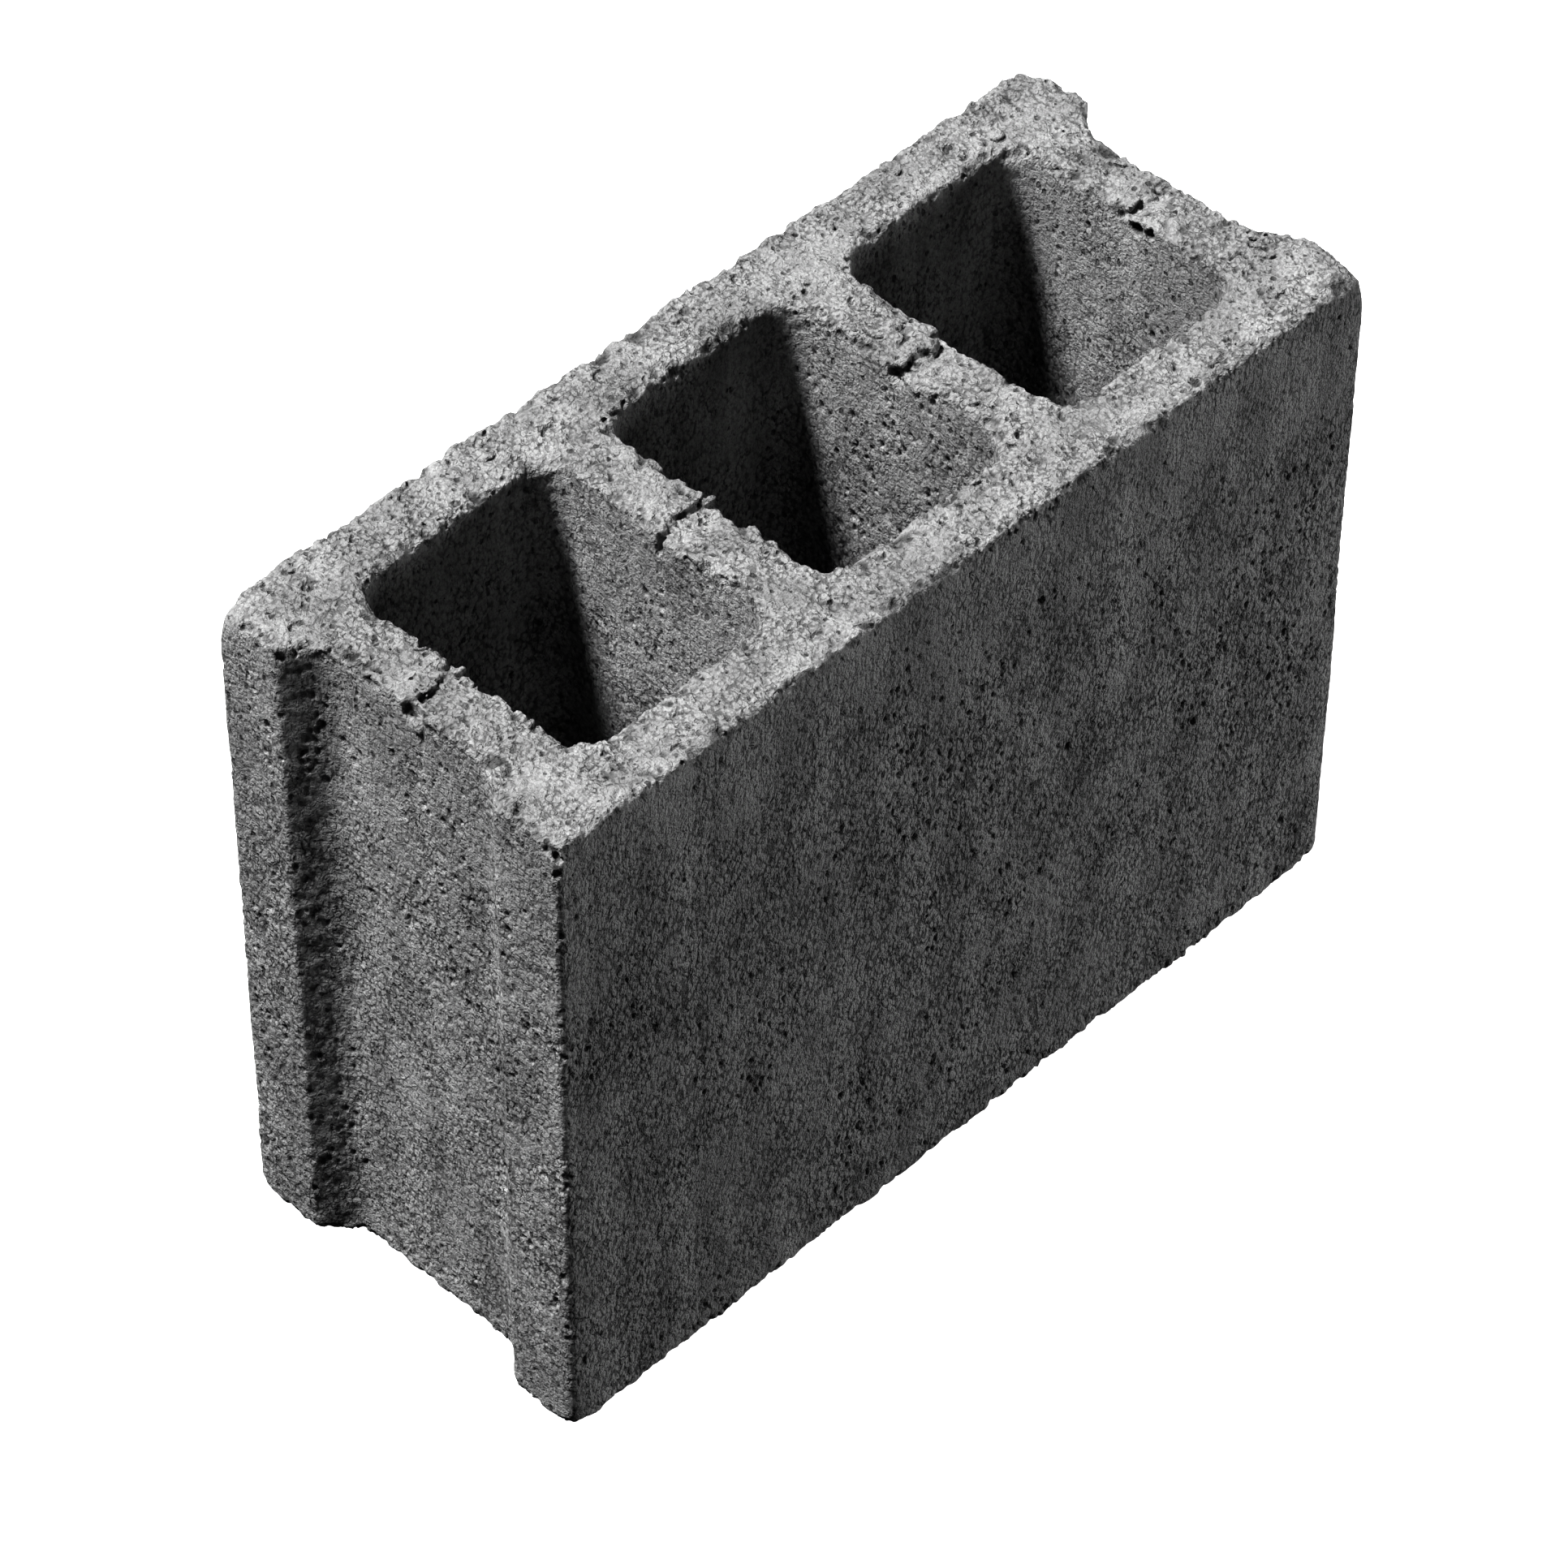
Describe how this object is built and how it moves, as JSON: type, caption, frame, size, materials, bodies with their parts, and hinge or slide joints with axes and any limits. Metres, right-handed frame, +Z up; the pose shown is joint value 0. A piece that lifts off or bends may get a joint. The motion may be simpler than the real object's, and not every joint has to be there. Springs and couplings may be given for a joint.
{
  "type": "hollow concrete block",
  "caption": "Hollow masonry block with upright cores in a row, recessed ends and rough grey dry-cast faces, for walls laid in mortar.",
  "frame": {"origin": "middle of the bottom bed face, which the block rests on", "axes": "+X along the block's length, +Y across its thickness, +Z up along the cores"},
  "size_m": [0.39, 0.16, 0.29],
  "materials": {
    "concrete": "rough dry-cast concrete, matt, open pored"
  },
  "bodies": {
    "root": {"block_body": "concrete"}
  },
  "joints": []
}
